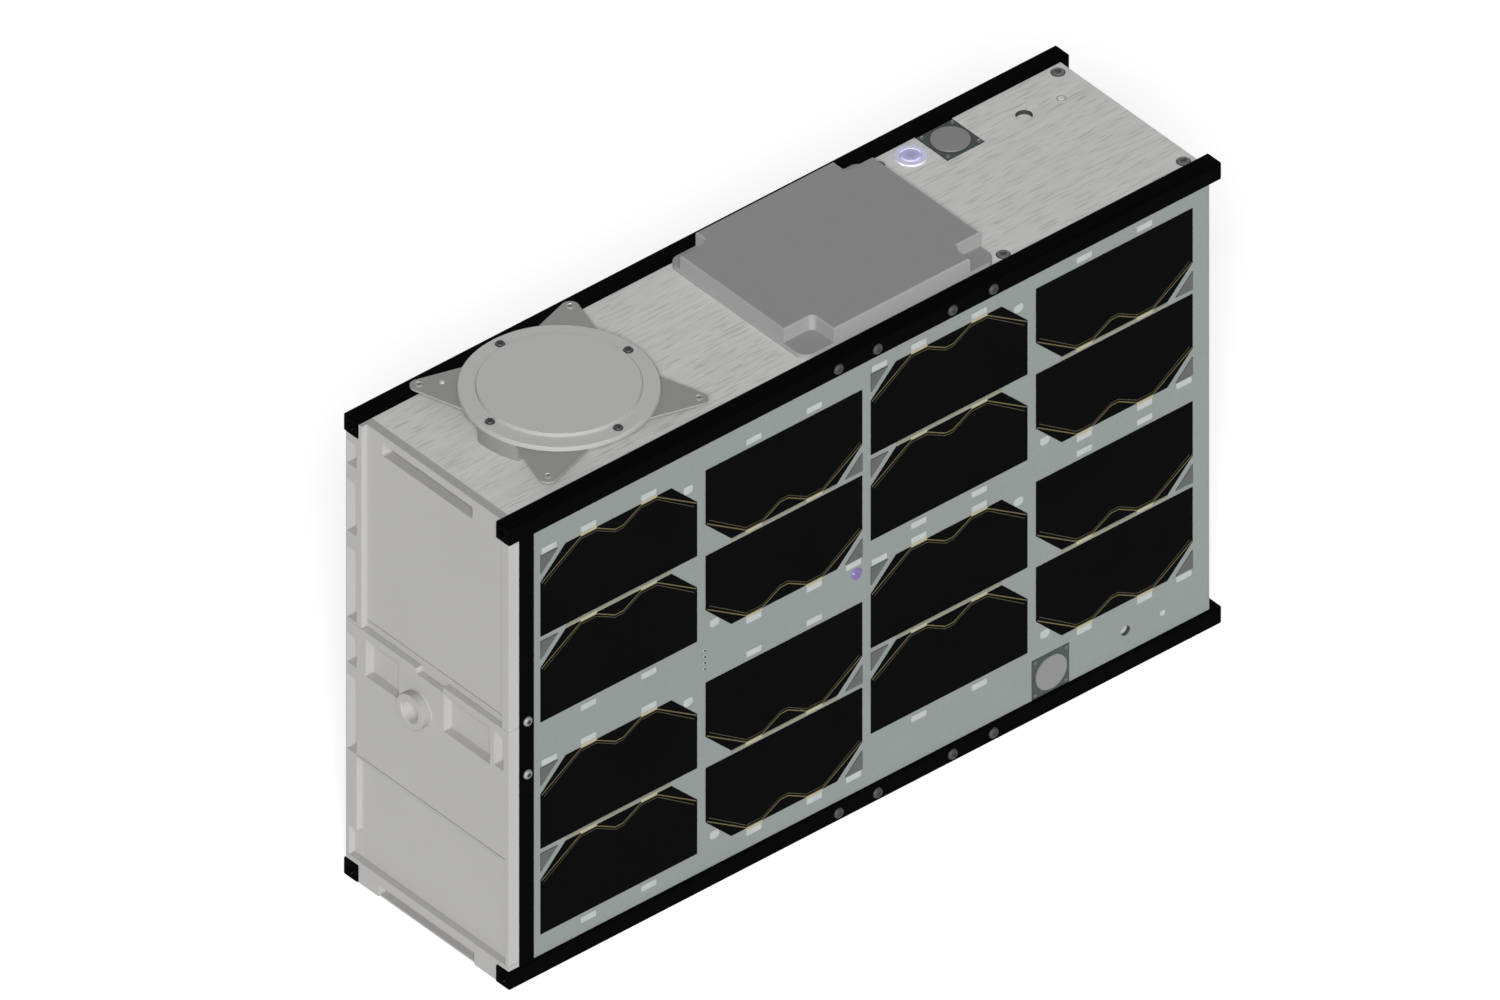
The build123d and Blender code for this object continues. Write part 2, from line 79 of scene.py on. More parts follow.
# Places of trim, from the front rail ends, the near rail faces and the base
RAIL_SCREWS = (0.169, 0.189, 0.2275, 0.2485)
POST_SCREWS = (0.1016, 0.1276)
SKIN_SCREWS = ((0.356, 0.087), (0.356, 0.0115), (0.2635, 0.0115), (0.2635, 0.087))
SKIN_MARK = (0.346, 0.0733)
TOP_HOLE = (0.328, 0.0746)
SIDE_HOLE = (0.3175, 0.0194)
BOARD_MARK = (0.3365, 0.0188)
BOARD_PINS_ALONG = 0.1015
BOARD_PINS_UP = (0.1075, 0.1105, 0.1135, 0.1165)
PORT_MIDDLE = (0.0555, 0.1069)

# Places of trim on the instrument, from its axis
FLANGE_SCREW_REACH = 0.0355
EAR_SCREW_REACH = 0.0388
EAR_PIN = (-0.031, 0.034)

# Trim from the edges of what carries it, and the back screws as shares of the back plate's height
SENSOR_PIN_IN = 0.0016
BACK_SCREW_IN = 0.012
BACK_SCREWS_UP = (0.16, 0.5, 0.84)

# Screw heads: their heights, and the widths of the gaps of painted shade round flat ones
RAIL_SCREW_HIGH = 0.0011
POST_SCREW_HIGH = 0.0012
EAR_SCREW_HIGH = 0.0006
SKIN_SCREW_HIGH = 0.0006
SKIN_SCREW_GAP = 0.0005
BACK_SCREW_GAP = 0.0004
FLANGE_SCREW_HIGH = 0.0008
FLANGE_SCREW_GAP = 0.0003

# Shapes of screw heads: each ring's shares of the head's radius and height, its corners and finish
# Finish 1 is painted shade: the dark socket, and on flat heads the dark gap round them
BUTTON_HEAD = (
    (1.0, 0.0, 0, 0), (1.0, 0.35, 0, 0), (0.88, 0.72, 0, 0), (0.68, 0.95, 0, 0),
    (0.552, 1.0, 0, 0), (0.46, 0.97, 6, 0), (0.4324, 0.3, 6, 1),
)
FLAT_HEAD = (
    (1.0, 0.2, 0, 1), (1.0, 0.7, 0, 0), (0.9, 1.0, 0, 0), (0.52, 1.0, 6, 0), (0.4784, 0.25, 6, 1),
)
COUNTERSINK_HIGH = 0.15

# Shapes of other turned trim: each ring's radius, height, corners and finish
BOARD_PIN_SHAPE = (
    (0.0007, 0.0, 0, 1), (0.0007, 0.00015, 0, 1), (0.0005, 0.0002, 0, 1),
    (0.0004, 0.0005, 0, 0), (0.0002, 0.0006, 0, 0),
)
BOARD_MARK_SHAPE = (
    (0.0013, 0.0, 0, 1), (0.0013, 0.0002, 0, 1), (0.0008, 0.0002, 0, 1), (0.0007, 0.0001, 0, 1),
)
SKIN_MARK_SHAPE = (
    (0.0021, 0.0, 0, 0), (0.0021, 0.0002, 0, 0), (0.0013, 0.0002, 0, 0), (0.0012, 0.0003, 0, 1),
)
SENSOR_PIN_SHAPE = (
    (0.0009, 0.0, 0, 0), (0.0009, 0.0002, 0, 0), (0.0006, 0.0004, 0, 0), (0.0002, 0.0005, 0, 0),
)
EAR_PIN_SHAPE = ((0.0011, 0.0, 0, 0), (0.0011, 0.0004, 0, 0), (0.0008, 0.0007, 0, 0))

# Depths of the access holes' floors under a thin dark sheet of painted shade on their walls, and the port's
# ring with the plug that sits in the plate's hole
SIDE_HOLE_DEEP = 0.0018
TOP_HOLE_DEEP = 0.0022
SHADE_SHEET = 0.00006
RING_EDGE = 0.0002
BORE_DEEP = 0.0062
PLUG_RADIUS = 0.0064
PLUG_DEEP = 0.0030

# Band of painted shade on the lamp-facing edge of the flange and its disc, and a rim out of reach for faces
# that have no such band
FLANGE_SHADE_BAND = 0.00045
NO_RIM = 1.0

# Cell wiring, in each cell's own place: x along its long edge, y towards its cropped edge
CELL_CROP = 0.013
PAIR_REACH = 0.004
TAB_PLACES = (0.0246, 0.0556)
TAB_HIGH = 0.00012
TAB_LAP = 0.0002
TAB_ROUND = 0.0003
TAB_BEVEL = 0.00008
PAD_HIGH = 0.00024
PAD_ROUND = 0.0004
CORNER_PAD = (0.0044, 0.0020)
SPOT_IN = (0.0045, 0.0050)
SPOT_TALL = 0.8
SPOT_ROUND = 0.36
SEAM_OFF = 0.0012
STRAND_HIGH = 0.00006
STRAND_DROP = 0.0004
STRAND_DIP = 0.0052
STRAND_DIP_LONG = 0.004
FAINT_DROP = 0.0016
FAINT_WIDTH = 0.6

# Places of the finishes in the strands' piece
GOLD = 0
BRONZE = 1
TAN = 2

# Mesh detail
ROUND_SIDES = 32
CORNER_STEPS = 4
SMOOTH_ANGLE = math.radians(35)
WELD = 1e-6

# Sockets of the main shader
SOCKETS = {
    "colour": "Base Color",
    "metal": "Metallic",
    "rough": "Roughness",
    "gloss": "Specular IOR Level",
    "coat": "Coat Weight",
    "coat_rough": "Coat Roughness",
    "normal": "Normal",
    "glow": "Emission Color",
    "glow_strength": "Emission Strength",
}


class SATELLITE_PG_sizes(bpy.types.PropertyGroup):
    """Sizes of the fasteners and of the cell wiring."""

    rail_screw: FloatProperty(
        name="Rail screw", description="Head diameter of the rail screws", default=0.0046, unit="LENGTH")
    post_screw: FloatProperty(
        name="Post screw", description="Head diameter of the post screws", default=0.0042, unit="LENGTH")
    skin_screw: FloatProperty(
        name="Skin screw", description="Head diameter of the skin screws", default=0.0050, unit="LENGTH")
    port_ring: FloatProperty(
        name="Port ring", description="Diameter of the ring on the end module's port", default=0.0160,
        unit="LENGTH")
    port_ring_hole: FloatProperty(
        name="Port ring hole", description="Inner diameter of the port's ring", default=0.0100,
        unit="LENGTH")
    port_throat: FloatProperty(
        name="Port throat", description="Diameter of the throat in the port's floor", default=0.0026,
        unit="LENGTH")
    port_ring_proud: FloatProperty(
        name="Port ring reach", description="How far the port's ring stands out", default=0.0040,
        unit="LENGTH")
    side_hole: FloatProperty(
        name="Side hole", description="Diameter of the side panels' access holes", default=0.0048,
        unit="LENGTH")
    top_hole: FloatProperty(
        name="Top hole", description="Diameter of the top skin's access hole", default=0.0070,
        unit="LENGTH")
    flange_screw: FloatProperty(
        name="Flange screw", description="Head diameter of the flange screws", default=0.0036,
        unit="LENGTH")
    ear_screw: FloatProperty(
        name="Ear screw", description="Head diameter of the ear screws", default=0.0034, unit="LENGTH")
    tab_long: FloatProperty(
        name="Tab length", description="Length of a cell's contact tab", default=0.0082, unit="LENGTH")
    tab_tall: FloatProperty(
        name="Tab height", description="Reach of the bare part of a contact tab", default=0.0014,
        unit="LENGTH")
    pad_long: FloatProperty(
        name="Pad length", description="Length of a white solder pad", default=0.0076, unit="LENGTH")
    pad_tall: FloatProperty(
        name="Pad height", description="Height of a white solder pad", default=0.0028, unit="LENGTH")
    pad_off: FloatProperty(
        name="Pad distance", description="Middle of a solder pad from the cell's straight edge",
        default=0.0034, unit="LENGTH")
    spot: FloatProperty(
        name="Corner spot", description="Diameter of the white spot in a cropped corner", default=0.0048,
        unit="LENGTH")
    seam: FloatProperty(
        name="Seam width", description="Width of the pale line between two cells of a pair", default=0.0012,
        unit="LENGTH")
    strand: FloatProperty(
        name="Strand width", description="Width of the gold strand on a cell", default=0.00046,
        unit="LENGTH")


class SATELLITE_PG_colours(bpy.types.PropertyGroup):
    """Colours of the finishes."""

    rail: FloatVectorProperty(
        name="Rails", description="Black anodised rails and posts", subtype="COLOR", min=0, max=1,
        default=(0.0012, 0.0012, 0.0013))
    board: FloatVectorProperty(
        name="Boards", description="Grey-green face of the side panels", subtype="COLOR", min=0, max=1,
        default=(0.190, 0.213, 0.203))
    cell: FloatVectorProperty(
        name="Cells", description="Cell under its cover glass", subtype="COLOR", min=0, max=1,
        default=(0.0019, 0.0019, 0.0019))
    diode: FloatVectorProperty(
        name="Diodes", description="Bypass diodes", subtype="COLOR", min=0, max=1,
        default=(0.078, 0.083, 0.081))
    gold: FloatVectorProperty(
        name="Strands", description="Gold strands on the cells", subtype="COLOR", min=0, max=1,
        default=(0.102, 0.083, 0.025))
    cream: FloatVectorProperty(
        name="Tabs", description="Bare contact tabs", subtype="COLOR", min=0, max=1,
        default=(0.33, 0.31, 0.22))
    pad: FloatVectorProperty(
        name="Pads", description="White solder pads", subtype="COLOR", min=0, max=1,
        default=(0.33, 0.355, 0.35))
    skin: FloatVectorProperty(
        name="Skins", description="Brushed top and bottom skins", subtype="COLOR", min=0, max=1,
        default=(0.583, 0.583, 0.567))
    flange: FloatVectorProperty(
        name="Flange", description="Turned flange and disc of the instrument", subtype="COLOR", min=0,
        max=1, default=(0.488, 0.488, 0.476))
    ears: FloatVectorProperty(
        name="Instrument body", description="Instrument body and its ears", subtype="COLOR", min=0, max=1,
        default=(0.272, 0.272, 0.267))
    stand: FloatVectorProperty(
        name="Instrument stand", description="Stand under the flange", subtype="COLOR", min=0, max=1,
        default=(0.195, 0.195, 0.192))
    housing: FloatVectorProperty(
        name="Housing", description="Raised housing", subtype="COLOR", min=0, max=1,
        default=(0.258, 0.258, 0.258))
    end: FloatVectorProperty(
        name="End module", description="Bead-blasted end module and back plate", subtype="COLOR", min=0,
        max=1, default=(0.372, 0.368, 0.360))
    sensor_board: FloatVectorProperty(
        name="Sensor boards", description="Dark boards of the sun sensors", subtype="COLOR", min=0, max=1,
        default=(0.040, 0.051, 0.048))
    sensor_disc: FloatVectorProperty(
        name="Sensor discs", description="Satin discs of the sun sensors", subtype="COLOR", min=0, max=1,
        default=(0.213, 0.213, 0.213))
    violet: FloatVectorProperty(
        name="Side lens", description="Violet lens of the side panels", subtype="COLOR", min=0, max=1,
        default=(0.105, 0.065, 0.235))
    lavender: FloatVectorProperty(
        name="Top lens", description="Lavender lens of the top skin", subtype="COLOR", min=0, max=1,
        default=(0.385, 0.365, 0.64))
    lens_ring: FloatVectorProperty(
        name="Lens ring", description="Pale ring round the top lens", subtype="COLOR", min=0, max=1,
        default=(0.60, 0.60, 0.76))
    rail_screw: FloatVectorProperty(
        name="Rail screws", description="Grey screws of the rails", subtype="COLOR", min=0, max=1,
        default=(0.021, 0.021, 0.022))
    steel: FloatVectorProperty(
        name="Steel screws", description="Pale steel screws", subtype="COLOR", min=0, max=1,
        default=(0.42, 0.42, 0.42))
    # Blackened screws and pins, and painted shade in screw sockets, the gaps round flat heads and the
    # holes' walls
    dark_screw_and_shade: FloatVectorProperty(
        name="Dark screws", description="Blackened screws and their sockets", subtype="COLOR", min=0, max=1,
        default=(0.035, 0.035, 0.037))
    stack: FloatVectorProperty(
        name="Inner stack", description="Stack of electronics inside", subtype="COLOR", min=0, max=1,
        default=(0.05, 0.05, 0.05))


class SATELLITE_PG_stage(bpy.types.PropertyGroup):
    """Camera angle, lamps and floor."""

    azimuth: FloatProperty(
        name="Azimuth", description="Camera's angle round the satellite", subtype="ANGLE",
        default=math.radians(-40.47))
    elevation: FloatProperty(
        name="Elevation", description="Camera's angle above the floor", subtype="ANGLE",
        default=math.radians(37.28))
    ambient: FloatProperty(
        name="Ambient", description="Strength of the light from all round", default=0.155, min=0)
    head: FloatProperty(
        name="Head lamp", description="Strength of the lamp behind the camera", default=2.84, min=0)
    side: FloatProperty(
        name="Side lamp", description="Strength of the low lamp on the near side", default=2.30, min=0)
    fill: FloatProperty(
        name="Fill lamp", description="Strength of the low lamp on the far side", default=2.2, min=0)
    lamp_softness: FloatProperty(
        name="Softness", description="Angle that a lamp spans", subtype="ANGLE", default=math.radians(12))
    floor_side: FloatProperty(
        name="Floor", description="Side of the floor", default=12.0, unit="LENGTH")
    floor_colour: FloatVectorProperty(
        name="Floor colour", description="Colour of the floor", subtype="COLOR", min=0, max=1,
        default=(0.62, 0.62, 0.62))
    floor_lift: FloatProperty(
        name="Floor lift", description="White added to the floor as it is seen", default=0.62, min=0)


class Wire:
    """A node's output that takes part in sums and products of values."""

    def __init__(self, finish, socket):
        self.finish = finish
        self.socket = socket

    def combine(self, operation, first, second):
        return self.finish.node("ShaderNodeMath", {"operation": operation}, {0: first, 1: second})

    def __add__(self, other):
        return self.combine("ADD", self, other)

    def __radd__(self, other):
        return self.combine("ADD", other, self)

    def __sub__(self, other):
        return self.combine("SUBTRACT", self, other)

    def __rsub__(self, other):
        return self.combine("SUBTRACT", other, self)

    def __mul__(self, other):
        return self.combine("MULTIPLY", self, other)

    def __rmul__(self, other):
        return self.combine("MULTIPLY", other, self)

    def __gt__(self, other):
        return self.combine("GREATER_THAN", self, other)

    def or_else(self, other):
        """The larger of two values."""
        return self.combine("MAXIMUM", self, other)


class Finish:
    """Node tree of one material or of the world."""

    def __init__(self, owner):
        owner.use_nodes = True
        self.owner = owner
        self.tree = owner.node_tree

    def node(self, kind, settings=None, sockets=None, output=0):
        """Adds a node with its settings and the values or links of its sockets."""
        made = self.tree.nodes.new(kind)
        for key, value in (settings or {}).items():
            setattr(made, key, value)
        for key, value in (sockets or {}).items():
            self.feed(made.inputs[key], value)
        return Wire(self, made.outputs[output])

    def feed(self, socket, value):
        """Links a wire to a socket, or sets the socket's own value."""
        if isinstance(value, Wire):
            self.tree.links.new(value.socket, socket)
        elif hasattr(socket.default_value, "__len__") and len(socket.default_value) == 4:
            socket.default_value = (*value, 1)
        else:
            socket.default_value = value

    def surface(self, **sockets):
        """Sets the main shader's sockets, by their short names."""
        shader = self.tree.nodes["Principled BSDF"]
        for key, value in sockets.items():
            self.feed(shader.inputs[SOCKETS[key]], value)

    def places(self, stretch=(1, 1, 1), shift=(0, 0, 0)):
        """Places in the satellite's frame, in metres, shifted and then stretched."""
        here = self.node("ShaderNodeTexCoord", output="Object")
        moved = self.node("ShaderNodeVectorMath", {"operation": "SUBTRACT"}, {0: here, 1: shift})
        return self.node("ShaderNodeVectorMath", {"operation": "MULTIPLY"}, {0: moved, 1: stretch})

    def length(self, vector):
        return self.node("ShaderNodeVectorMath", {"operation": "LENGTH"}, {0: vector}, "Value")

    def noise(self, places, scale=1.0, detail=2.0, roughness=0.5):
        return self.node(
            "ShaderNodeTexNoise", {"normalize": True},
            {"Vector": places, "Scale": scale, "Detail": detail, "Roughness": roughness})

    def rise(self, value, low, high):
        """0 up to a low value, 1 from a high one on, and an even slope between them."""
        return self.node(
            "ShaderNodeMapRange", None, {"Value": value, "From Min": low, "From Max": high})

    def blend(self, share, first, second):
        """Colour between two colours, by the colour sockets of a Mix node."""
        return self.node("ShaderNodeMix", {"data_type": "RGBA"}, {0: share, 6: first, 7: second}, 2)

    def tones(self, share, colour, dark, light):
        """Colour between two shades of one colour."""
        return self.blend(share, shade(colour, dark), shade(colour, light))

    def bump(self, height, strength, distance):
        return self.node(
            "ShaderNodeBump", None, {"Strength": strength, "Distance": distance, "Height": height})


def shade(colour, factor):
    """A colour made darker or lighter."""
    return tuple(min(1, channel * factor) for channel in colour)


def about(middle, noise, spread):
    """A value that spreads about a middle, as a noise does about a half."""
    return middle + (noise - 0.5) * spread


def new_finish(name):
    return Finish(bpy.data.materials.new(name))


def blasted(name, colour, metal, rough, spread=0.06, gloss=0.2):
    """Bead-blasted metal: fine grain, and slow changes of tone."""
    finish = new_finish(name)
    places = finish.places()
    grain = finish.noise(places, scale=2600, detail=3)
    cloud = finish.noise(places, scale=28, detail=3)
    tone = grain * 0.5 + cloud * 0.5
    finish.surface(
        colour=finish.tones(tone, colour, 1 - spread, 1 + spread),
        rough=about(rough, cloud, 0.16),
        metal=metal,
        gloss=gloss,
        normal=finish.bump(grain, strength=0.10, distance=0.00006))
    return finish.owner


def brushed(name, colour):
    """Metal brushed along the satellite: long soft streaks and short dark ones."""
    finish = new_finish(name)
    soft = finish.noise(finish.places(stretch=(14, 420, 420)), detail=4, roughness=0.6)
    fine = finish.noise(finish.places(stretch=(60, 1500, 1500)), detail=2, roughness=0.6)
    short = finish.noise(finish.places(stretch=(80, 1000, 1000)), detail=1)
    blotch = finish.noise(finish.places(stretch=(90, 260, 260)), detail=3, roughness=0.6)
    dashes = finish.rise(short, low=0.56, high=0.68)
    tone = soft * 0.5 + blotch * 0.25 + fine * 0.25
    pale = finish.tones(tone, colour, 0.76, 1.24)
    finish.surface(
        colour=finish.blend(dashes * 0.75, pale, shade(colour, 0.72)),
        rough=about(0.64, fine, 0.16),
        metal=0.08,
        gloss=0.15,
        normal=finish.bump(fine, strength=0.14, distance=0.00005))
    return finish.owner


def turned(name, colour, middle, metal=0.08, rim=NO_RIM):
    """Metal turned on a lathe: fine rings round an upright axis, and painted shade that darkens the edge
    outside the rim.
    """
    finish = new_finish(name)
    radius = finish.length(finish.places(stretch=(1, 1, 0), shift=(middle.x, middle.y, 0)))
    rings = finish.node(
        "ShaderNodeTexNoise", {"noise_dimensions": "1D"},
        {"W": radius * 2200, "Scale": 1.0, "Detail": 2.0})
    grain = finish.noise(finish.places(), scale=1800, detail=2)
    tone = rings * 0.7 + grain * 0.3
    face = finish.tones(tone, colour, 0.94, 1.06)
    # Outside the rim the colour blends to a darker shade: painted shade on the chamfer, which the lamps
    # light too brightly
    finish.surface(
        colour=finish.blend((radius > rim) * 0.9, face, shade(colour, 0.66)),
        rough=about(0.60, rings, 0.16),
        metal=metal,
        gloss=0.12,
        normal=finish.bump(rings, strength=0.10, distance=0.00004))
    return finish.owner


def anodised(name, colour):
    """Hard black anodised aluminium: a dull, slightly uneven black with a fine grain."""
    finish = new_finish(name)
    grain = finish.noise(finish.places(), scale=2400, detail=2)
    cloud = finish.noise(finish.places(stretch=(10, 60, 60)), detail=3)
    finish.surface(
        colour=finish.tones(cloud, colour, 0.7, 1.5),
        rough=about(0.55, grain, 0.18),
        gloss=0.005,
        normal=finish.bump(grain, strength=0.08, distance=0.00005))
    return finish.owner


def solder_resist(name, colour):
    """Board under solder resist: the weave of the glass cloth shows faintly through it."""
    finish = new_finish(name)
    warp = finish.noise(finish.places(stretch=(160, 160, 1500)), detail=1)
    weft = finish.noise(finish.places(stretch=(1500, 160, 160)), detail=1)
    weave = warp * weft
    cloud = finish.noise(finish.places(), scale=40, detail=4)
    tone = weave * 0.9 + cloud * 0.5
    finish.surface(
        colour=finish.tones(tone, colour, 0.90, 1.10),
        rough=about(0.51, cloud, 0.14),
        gloss=0.2,
        normal=finish.bump(weave, strength=0.10, distance=0.00005))
    return finish.owner


def cell_glass(name, colour):
    """Solar cell: nearly black, with faint grid fingers and a bluish cast, under cover glass."""
    finish = new_finish(name)
    along = finish.node("ShaderNodeSeparateXYZ", None, {0: finish.places(stretch=(620, 1, 1))})
    fingers = finish.node("ShaderNodeMath", {"operation": "FRACT"}, {0: along}) > 0.84
    cloud = finish.noise(finish.places(), scale=22, detail=3)
    bluish = (colour[0] * 1.1, colour[1] * 1.1, colour[2] * 1.3)
    cast = finish.blend(cloud, shade(colour, 0.75), bluish)
    finish.surface(
        colour=finish.blend(fingers * 0.35, cast, shade(colour, 2.2)),
        rough=about(0.35, cloud, 0.10),
        gloss=0.004,
        coat=about(0.013, cloud, 0.01),
        coat_rough=0.12)
    return finish.owner


def plated(name, colour, metal, rough):
    """Small plated or painted metal: a slightly uneven tone and a fine grain."""
    finish = new_finish(name)
    grain = finish.noise(finish.places(), scale=1500, detail=2)
    cloud = finish.noise(finish.places(), scale=260, detail=2)
    finish.surface(
        colour=finish.tones(cloud, colour, 0.88, 1.12),
        rough=about(rough, grain, 0.12),
        metal=metal,
        normal=finish.bump(grain, strength=0.06, distance=0.00003))
    return finish.owner


def lens_glass(name, colour, middle, radius):
    """Coated lens: deeper in its middle, with faint rings of its coating."""
    finish = new_finish(name)
    away = finish.length(finish.places(shift=middle)) * (1 / radius)
    rings = finish.node("ShaderNodeMath", {"operation": "SINE"}, {0: away * 16})
    rim = finish.rise(away + rings * 0.05, low=0.25, high=0.95)
    finish.surface(
        colour=finish.tones(rim, colour, 0.8, 1.25),
        rough=about(0.12, rim, 0.08),
        coat=0.6,
        coat_rough=0.04)
    return finish.owner


def dress(material, *nodes):
    """Gives CAD nodes their finish."""
    for node in nodes:
        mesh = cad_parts[node].data
        mesh.materials.clear()
        mesh.materials.append(material)


def on_both(name):
    """Names of a piece's two nodes, one on each large side."""
    return [f"{name}_{side}" for side in SIDES]


def axes(origin, x, y, z):
    """Matrix to the satellite's frame from a place with its own three axes."""
    return Matrix.Translation(origin) @ Matrix((x, y, z)).transposed().to_4x4()


def side_place(node, side):
    """A node's outer side face: x along the satellite, y up and z outwards, from the front and the base."""
    low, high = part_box(node)
    face = low.y if side == "near" else high.y
    return axes((FRONT, face, 0), (1, 0, 0), (0, 0, 1), (0, SIDES[side], 0))


def top_place(node):
    """A node's upper face: x along the satellite, y across it and z up, from the front near corner."""
    return axes((FRONT, NEAR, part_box(node)[1].z), (1, 0, 0), (0, 1, 0), (0, 0, 1))


def bottom_place(node):
    """A node's lower face: x along the satellite, y across it and z down, from the front near corner."""
    return axes((FRONT, NEAR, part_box(node)[0].z), (1, 0, 0), (0, 1, 0), (0, 0, -1))


def front_place(node):
    """A node's front face: x across the satellite, y up and z out to the front, from the near base edge."""
    return axes((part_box(node)[0].x, NEAR, 0), (0, 1, 0), (0, 0, 1), (-1, 0, 0))


def back_place(node):
    """A node's back face: x across the satellite, y up and z out to the back, from the near base edge."""
    return axes((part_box(node)[1].x, NEAR, 0), (0, 1, 0), (0, 0, 1), (1, 0, 0))


def at(place, x, y):
    """A place moved along its own x and y axes."""
    return place @ Matrix.Translation((x, y, 0))


def rounded(wide, tall, radius):
    """Rectangle with round corners, about its middle."""
    points = []
    for corner in range(4):
        turn = corner * math.pi / 2
        sign_x = 1 if corner in (0, 3) else -1
        sign_y = 1 if corner in (0, 1) else -1
        middle = Vector((sign_x * (wide / 2 - radius), sign_y * (tall / 2 - radius)))
        for step in range(CORNER_STEPS + 1):
            angle = turn + step / CORNER_STEPS * math.pi / 2
            points.append(middle + radius * Vector((math.cos(angle), math.sin(angle))))
    return points


def band(points, width):
    """Outline of a flat band of that width along a line, with mitred corners."""
    line = [Vector(point) for point in points]
    left = []
    right = []
    for index, point in enumerate(line):
        before = (point - line[index - 1]).normalized() if index > 0 else None
        after = (line[index + 1] - point).normalized() if index < len(line) - 1 else None
        ways = [way for way in (before, after) if way is not None]
        along = sum(ways, Vector((0, 0))).normalized()
        normal = Vector((-along.y, along.x))
        reach = width / 2 / along.dot(ways[0])
        left.append(point + normal * reach)
        right.append(point - normal * reach)
    return left + right[::-1]


class Piece:
    """A piece under construction, in the satellite's frame."""

    def __init__(self, name, *finishes):
        self.name = name
        self.finishes = finishes
        self.mesh = bmesh.new()

    def ring(self, place, radius, high, corners):
        """Ring of points: round, or a polygon of that inner radius."""
        points = []
        for index in range(ROUND_SIDES):
            angle = 2 * math.pi * index / ROUND_SIDES
            reach = radius
            if corners:
                step = 2 * math.pi / corners
                reach = radius / math.cos((angle + step / 2) % step - step / 2)
            spot = Vector((reach * math.cos(angle), reach * math.sin(angle), high))
            points.append(self.mesh.verts.new(place @ spot))
        return points

    def join(self, first, second, finish):
        """Band of faces between two rings of points."""
        for index in range(len(first)):
            after = (index + 1) % len(first)
            face = self.mesh.faces.new((first[index], first[after], second[after], second[index]))
            face.material_index = finish

    def lathe(self, place, *rings, hollow=False):
        """Turned body. Each ring gives its radius, height, corners and the finish of the band before it.

        A hollow body joins its last ring to its first, others close both with a face.
        """
        made = []
        finishes = []
        for radius, high, corners, finish in rings:
            made.append(self.ring(place, radius, high, corners))
            finishes.append(finish)
        for index in range(1, len(made)):
            self.join(made[index - 1], made[index], finishes[index])
        if hollow:
            self.join(made[-1], made[0], finishes[0])
        else:
            self.mesh.faces.new(made[0]).material_index = finishes[0]
            self.mesh.faces.new(made[-1]).material_index = finishes[-1]

    def cup(self, place, radius, deep):
        """Thin dark sheet of painted shade on a hole's wall, with a floor of the second finish."""
        wall = SHADE_SHEET
        self.lathe(
            place,
            (radius, -deep - wall, 0, 0), (radius, -wall, 0, 0), (radius - wall, -wall, 0, 0),
            (radius - wall, -deep, 0, 0), (radius - 2 * wall, -deep, 0, 1))

    def plate(self, place, outline, high, finish=0, bevel=0.0):
        """Flat plate of an outline, with a small bevel round its upper edge if asked."""
        middle = sum((Vector(point) for point in outline), Vector((0, 0))) / len(outline)
        levels = [(0.0, 0.0), (high - bevel, 0.0)]
        if bevel:
            levels.append((high, bevel))
        last = None
        for level, inset in levels:
            points = []
            for point in outline:
                away = Vector(point) - middle
                inward = Vector(point) - away.normalized() * inset
                points.append(self.mesh.verts.new(place @ Vector((inward.x, inward.y, level))))
            if last is None:
                self.mesh.faces.new(points).material_index = finish
            else:
                self.join(last, points, finish)
            last = points
        self.mesh.faces.new(last).material_index = finish

    def head(self, shape, radius, high):
        """Rings of a screw head of that shape."""
        return [(radius * share, high * level, corners, finish) for share, level, corners, finish in shape]

    def button_screw(self, place, diameter, high):
        """Dome-headed screw with a hexagon socket, painted dark as shade."""
        self.lathe(place, *self.head(BUTTON_HEAD, diameter / 2, high))

    def flush_screw(self, place, diameter, high, gap):
        """Flat-headed screw with a hexagon socket; the socket and the countersink gap round the head are
        painted dark as shade.
        """
        edge = diameter / 2 + gap
        sink = ((edge, 0.0, 0, 1), (edge, high * COUNTERSINK_HIGH, 0, 1))
        self.lathe(place, *sink, *self.head(FLAT_HEAD, diameter / 2, high))

    def done(self):
        """Makes the object, which rides on the satellite's body."""
        bmesh.ops.recalc_face_normals(self.mesh, faces=self.mesh.faces)
        data = bpy.data.meshes.new(self.name)
        self.mesh.to_mesh(data)
        self.mesh.free()
        for finish in self.finishes:
            data.materials.append(finish)
        data.shade_smooth()
        data.set_sharp_from_angle(angle=SMOOTH_ANGLE)
        made = bpy.data.objects.new(self.name, data)
        bpy.context.scene.collection.objects.link(made)
        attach(made, BODY)


class Cell:
    """One solar cell of a side panel, with its box from the front and the base."""

    def __init__(self, points):
        self.low_x = min(point.x for point in points) - FRONT
        self.high_x = max(point.x for point in points) - FRONT
        self.low_z = min(point.z for point in points)
        self.high_z = max(point.z for point in points)
        self.long = self.high_x - self.low_x
        self.tall = self.high_z - self.low_z
        upper = [point.x for point in points if self.high_z - point.z < WELD]
        self.cropped_up = max(upper) - min(upper) < self.long - CELL_CROP

    def place(self, panel):
        """The cell's own place: x along its long edge, y towards its cropped edge."""
        if self.cropped_up:
            return at(panel, self.low_x, self.low_z)
        return at(panel, self.high_x, self.high_z) @ Matrix.Rotation(math.pi, 4, "Z")

    def is_paired(self, cells, cropped_edge):
        """Whether another cell lies close to the cropped or to the straight edge."""
        upwards = self.cropped_up == cropped_edge
        for other in cells:
            gap = other.low_z - self.high_z if upwards else self.low_z - other.high_z
            if abs(other.low_x - self.low_x) < WELD and 0 < gap < PAIR_REACH:
                return True
        return False


